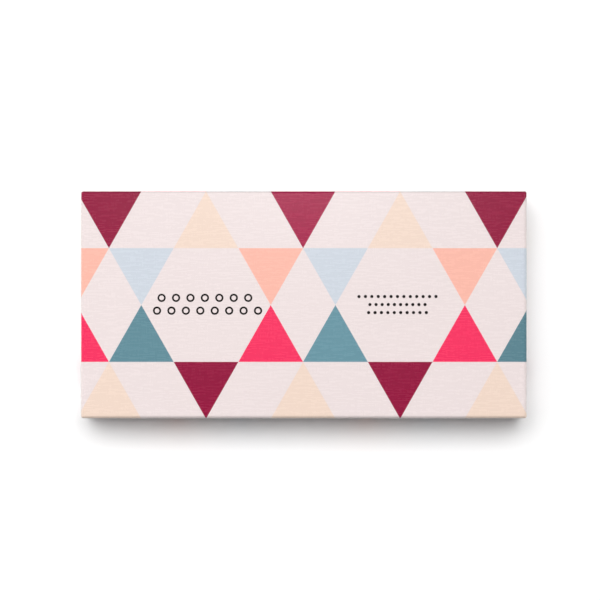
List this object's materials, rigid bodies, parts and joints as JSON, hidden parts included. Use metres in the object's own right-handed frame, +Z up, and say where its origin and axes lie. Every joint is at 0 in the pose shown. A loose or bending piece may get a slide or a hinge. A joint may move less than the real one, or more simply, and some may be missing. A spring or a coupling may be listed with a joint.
{
  "type": "chinese checkers set in a box",
  "caption": "Chinese checkers set: lift-off lid box with star-patterned wrap, folding star board, wells of turned pawns and a rules leaflet.",
  "frame": {"origin": "middle of the closed box's underside, on the surface it stands on", "axes": "+X along the box's long side, +Y towards the board's fold (the far side as the lid's print is read), +Z up through the lid"},
  "size_m": [0.306, 0.156, 0.04],
  "materials": {
    "printed_wrap": "satin",
    "greyboard": "matte",
    "liner_paper": "matte",
    "tray_wrap_paper": "satin",
    "insert_card": "matte",
    "board_print": "satin",
    "board_back_paper": "satin",
    "hinge_linen": "matte",
    "leaflet_paper": "matte",
    "sky_paint": "satin",
    "cream_paint": "satin",
    "peach_paint": "satin",
    "teal_paint": "satin",
    "burgundy_paint": "satin",
    "pink_paint": "satin"
  },
  "bodies": {
    "tray": {"tray_wrap": "tray_wrap_paper", "tray_board": "greyboard", "tray_liner": "liner_paper", "insert_collar": "insert_card", "long_divider": "insert_card", "cross_divider_left": "insert_card", "cross_divider_right": "insert_card"},
    "lid": {"lid_wrap": "printed_wrap", "lid_board": "greyboard", "lid_liner": "liner_paper"},
    "board": {"board_leaf_lower": "greyboard", "board_print_lower": "board_print", "board_back_lower": "board_back_paper", "board_hinge_tape": "hinge_linen"},
    "board_upper_leaf": {"board_leaf_upper": "greyboard", "board_print_upper": "board_print", "board_back_upper": "board_back_paper"},
    "leaflet": {"rules_leaflet": "leaflet_paper"},
    "sky_pawns": {"sky_pawn_1": "sky_paint", "sky_pawn_2": "sky_paint", "sky_pawn_3": "sky_paint", "sky_pawn_4": "sky_paint", "sky_pawn_pair_1": "sky_paint", "sky_pawn_pair_2": "sky_paint", "sky_pawn_pair_3": "sky_paint"},
    "cream_pawns": {"cream_pawn_1": "cream_paint", "cream_pawn_2": "cream_paint", "cream_pawn_3": "cream_paint", "cream_pawn_4": "cream_paint", "cream_pawn_pair_1": "cream_paint", "cream_pawn_pair_2": "cream_paint", "cream_pawn_pair_3": "cream_paint"},
    "peach_pawns": {"peach_pawn_1": "peach_paint", "peach_pawn_2": "peach_paint", "peach_pawn_3": "peach_paint", "peach_pawn_4": "peach_paint", "peach_pawn_pair_1": "peach_paint", "peach_pawn_pair_2": "peach_paint", "peach_pawn_pair_3": "peach_paint"},
    "teal_pawns": {"teal_pawn_1": "teal_paint", "teal_pawn_2": "teal_paint", "teal_pawn_3": "teal_paint", "teal_pawn_4": "teal_paint", "teal_pawn_pair_1": "teal_paint", "teal_pawn_pair_2": "teal_paint", "teal_pawn_pair_3": "teal_paint"},
    "burgundy_pawns": {"burgundy_pawn_1": "burgundy_paint", "burgundy_pawn_2": "burgundy_paint", "burgundy_pawn_3": "burgundy_paint", "burgundy_pawn_4": "burgundy_paint", "burgundy_pawn_pair_1": "burgundy_paint", "burgundy_pawn_pair_2": "burgundy_paint", "burgundy_pawn_pair_3": "burgundy_paint"},
    "pink_pawns": {"pink_pawn_1": "pink_paint", "pink_pawn_2": "pink_paint", "pink_pawn_3": "pink_paint", "pink_pawn_4": "pink_paint", "pink_pawn_pair_1": "pink_paint", "pink_pawn_pair_2": "pink_paint", "pink_pawn_pair_3": "pink_paint"}
  },
  "joints": [
    {"name": "lid_lift", "type": "slide", "parent": "tray", "child": "lid", "axis": [0, 0, 1], "range_m": [0, 0.56]},
    {"name": "board_lift", "type": "slide", "parent": "tray", "child": "board", "axis": [0, 0, 1], "range_m": [0, 0.065]},
    {"name": "board_unfold", "type": "hinge", "parent": "board", "child": "board_upper_leaf", "pos_m": [0, 0.07175, 0.03415], "axis": [-1, 0, 0], "range_deg": [0, 180], "deforming": ["board_hinge_tape"]},
    {"name": "leaflet_lift", "type": "slide", "parent": "tray", "child": "leaflet", "axis": [0, 0, 1], "range_m": [0, 0.05]},
    {"name": "sky_pawns_lift", "type": "slide", "parent": "tray", "child": "sky_pawns", "axis": [0, 0, 1], "range_m": [0, 0.038]},
    {"name": "cream_pawns_lift", "type": "slide", "parent": "tray", "child": "cream_pawns", "axis": [0, 0, 1], "range_m": [0, 0.038]},
    {"name": "peach_pawns_lift", "type": "slide", "parent": "tray", "child": "peach_pawns", "axis": [0, 0, 1], "range_m": [0, 0.038]},
    {"name": "teal_pawns_lift", "type": "slide", "parent": "tray", "child": "teal_pawns", "axis": [0, 0, 1], "range_m": [0, 0.038]},
    {"name": "burgundy_pawns_lift", "type": "slide", "parent": "tray", "child": "burgundy_pawns", "axis": [0, 0, 1], "range_m": [0, 0.038]},
    {"name": "pink_pawns_lift", "type": "slide", "parent": "tray", "child": "pink_pawns", "axis": [0, 0, 1], "range_m": [0, 0.038]}
  ],
  "couplings": [
    {"joint": "board_lift", "follows": "lid_lift", "ratio": 0.11607},
    {"joint": "board_unfold", "follows": "lid_lift", "rad_per_m": 5.61},
    {"joint": "leaflet_lift", "follows": "lid_lift", "ratio": 0.08928},
    {"joint": "sky_pawns_lift", "follows": "lid_lift", "ratio": 0.06785},
    {"joint": "cream_pawns_lift", "follows": "lid_lift", "ratio": 0.06785},
    {"joint": "peach_pawns_lift", "follows": "lid_lift", "ratio": 0.06785},
    {"joint": "teal_pawns_lift", "follows": "lid_lift", "ratio": 0.06785},
    {"joint": "burgundy_pawns_lift", "follows": "lid_lift", "ratio": 0.06785},
    {"joint": "pink_pawns_lift", "follows": "lid_lift", "ratio": 0.06785}
  ]
}
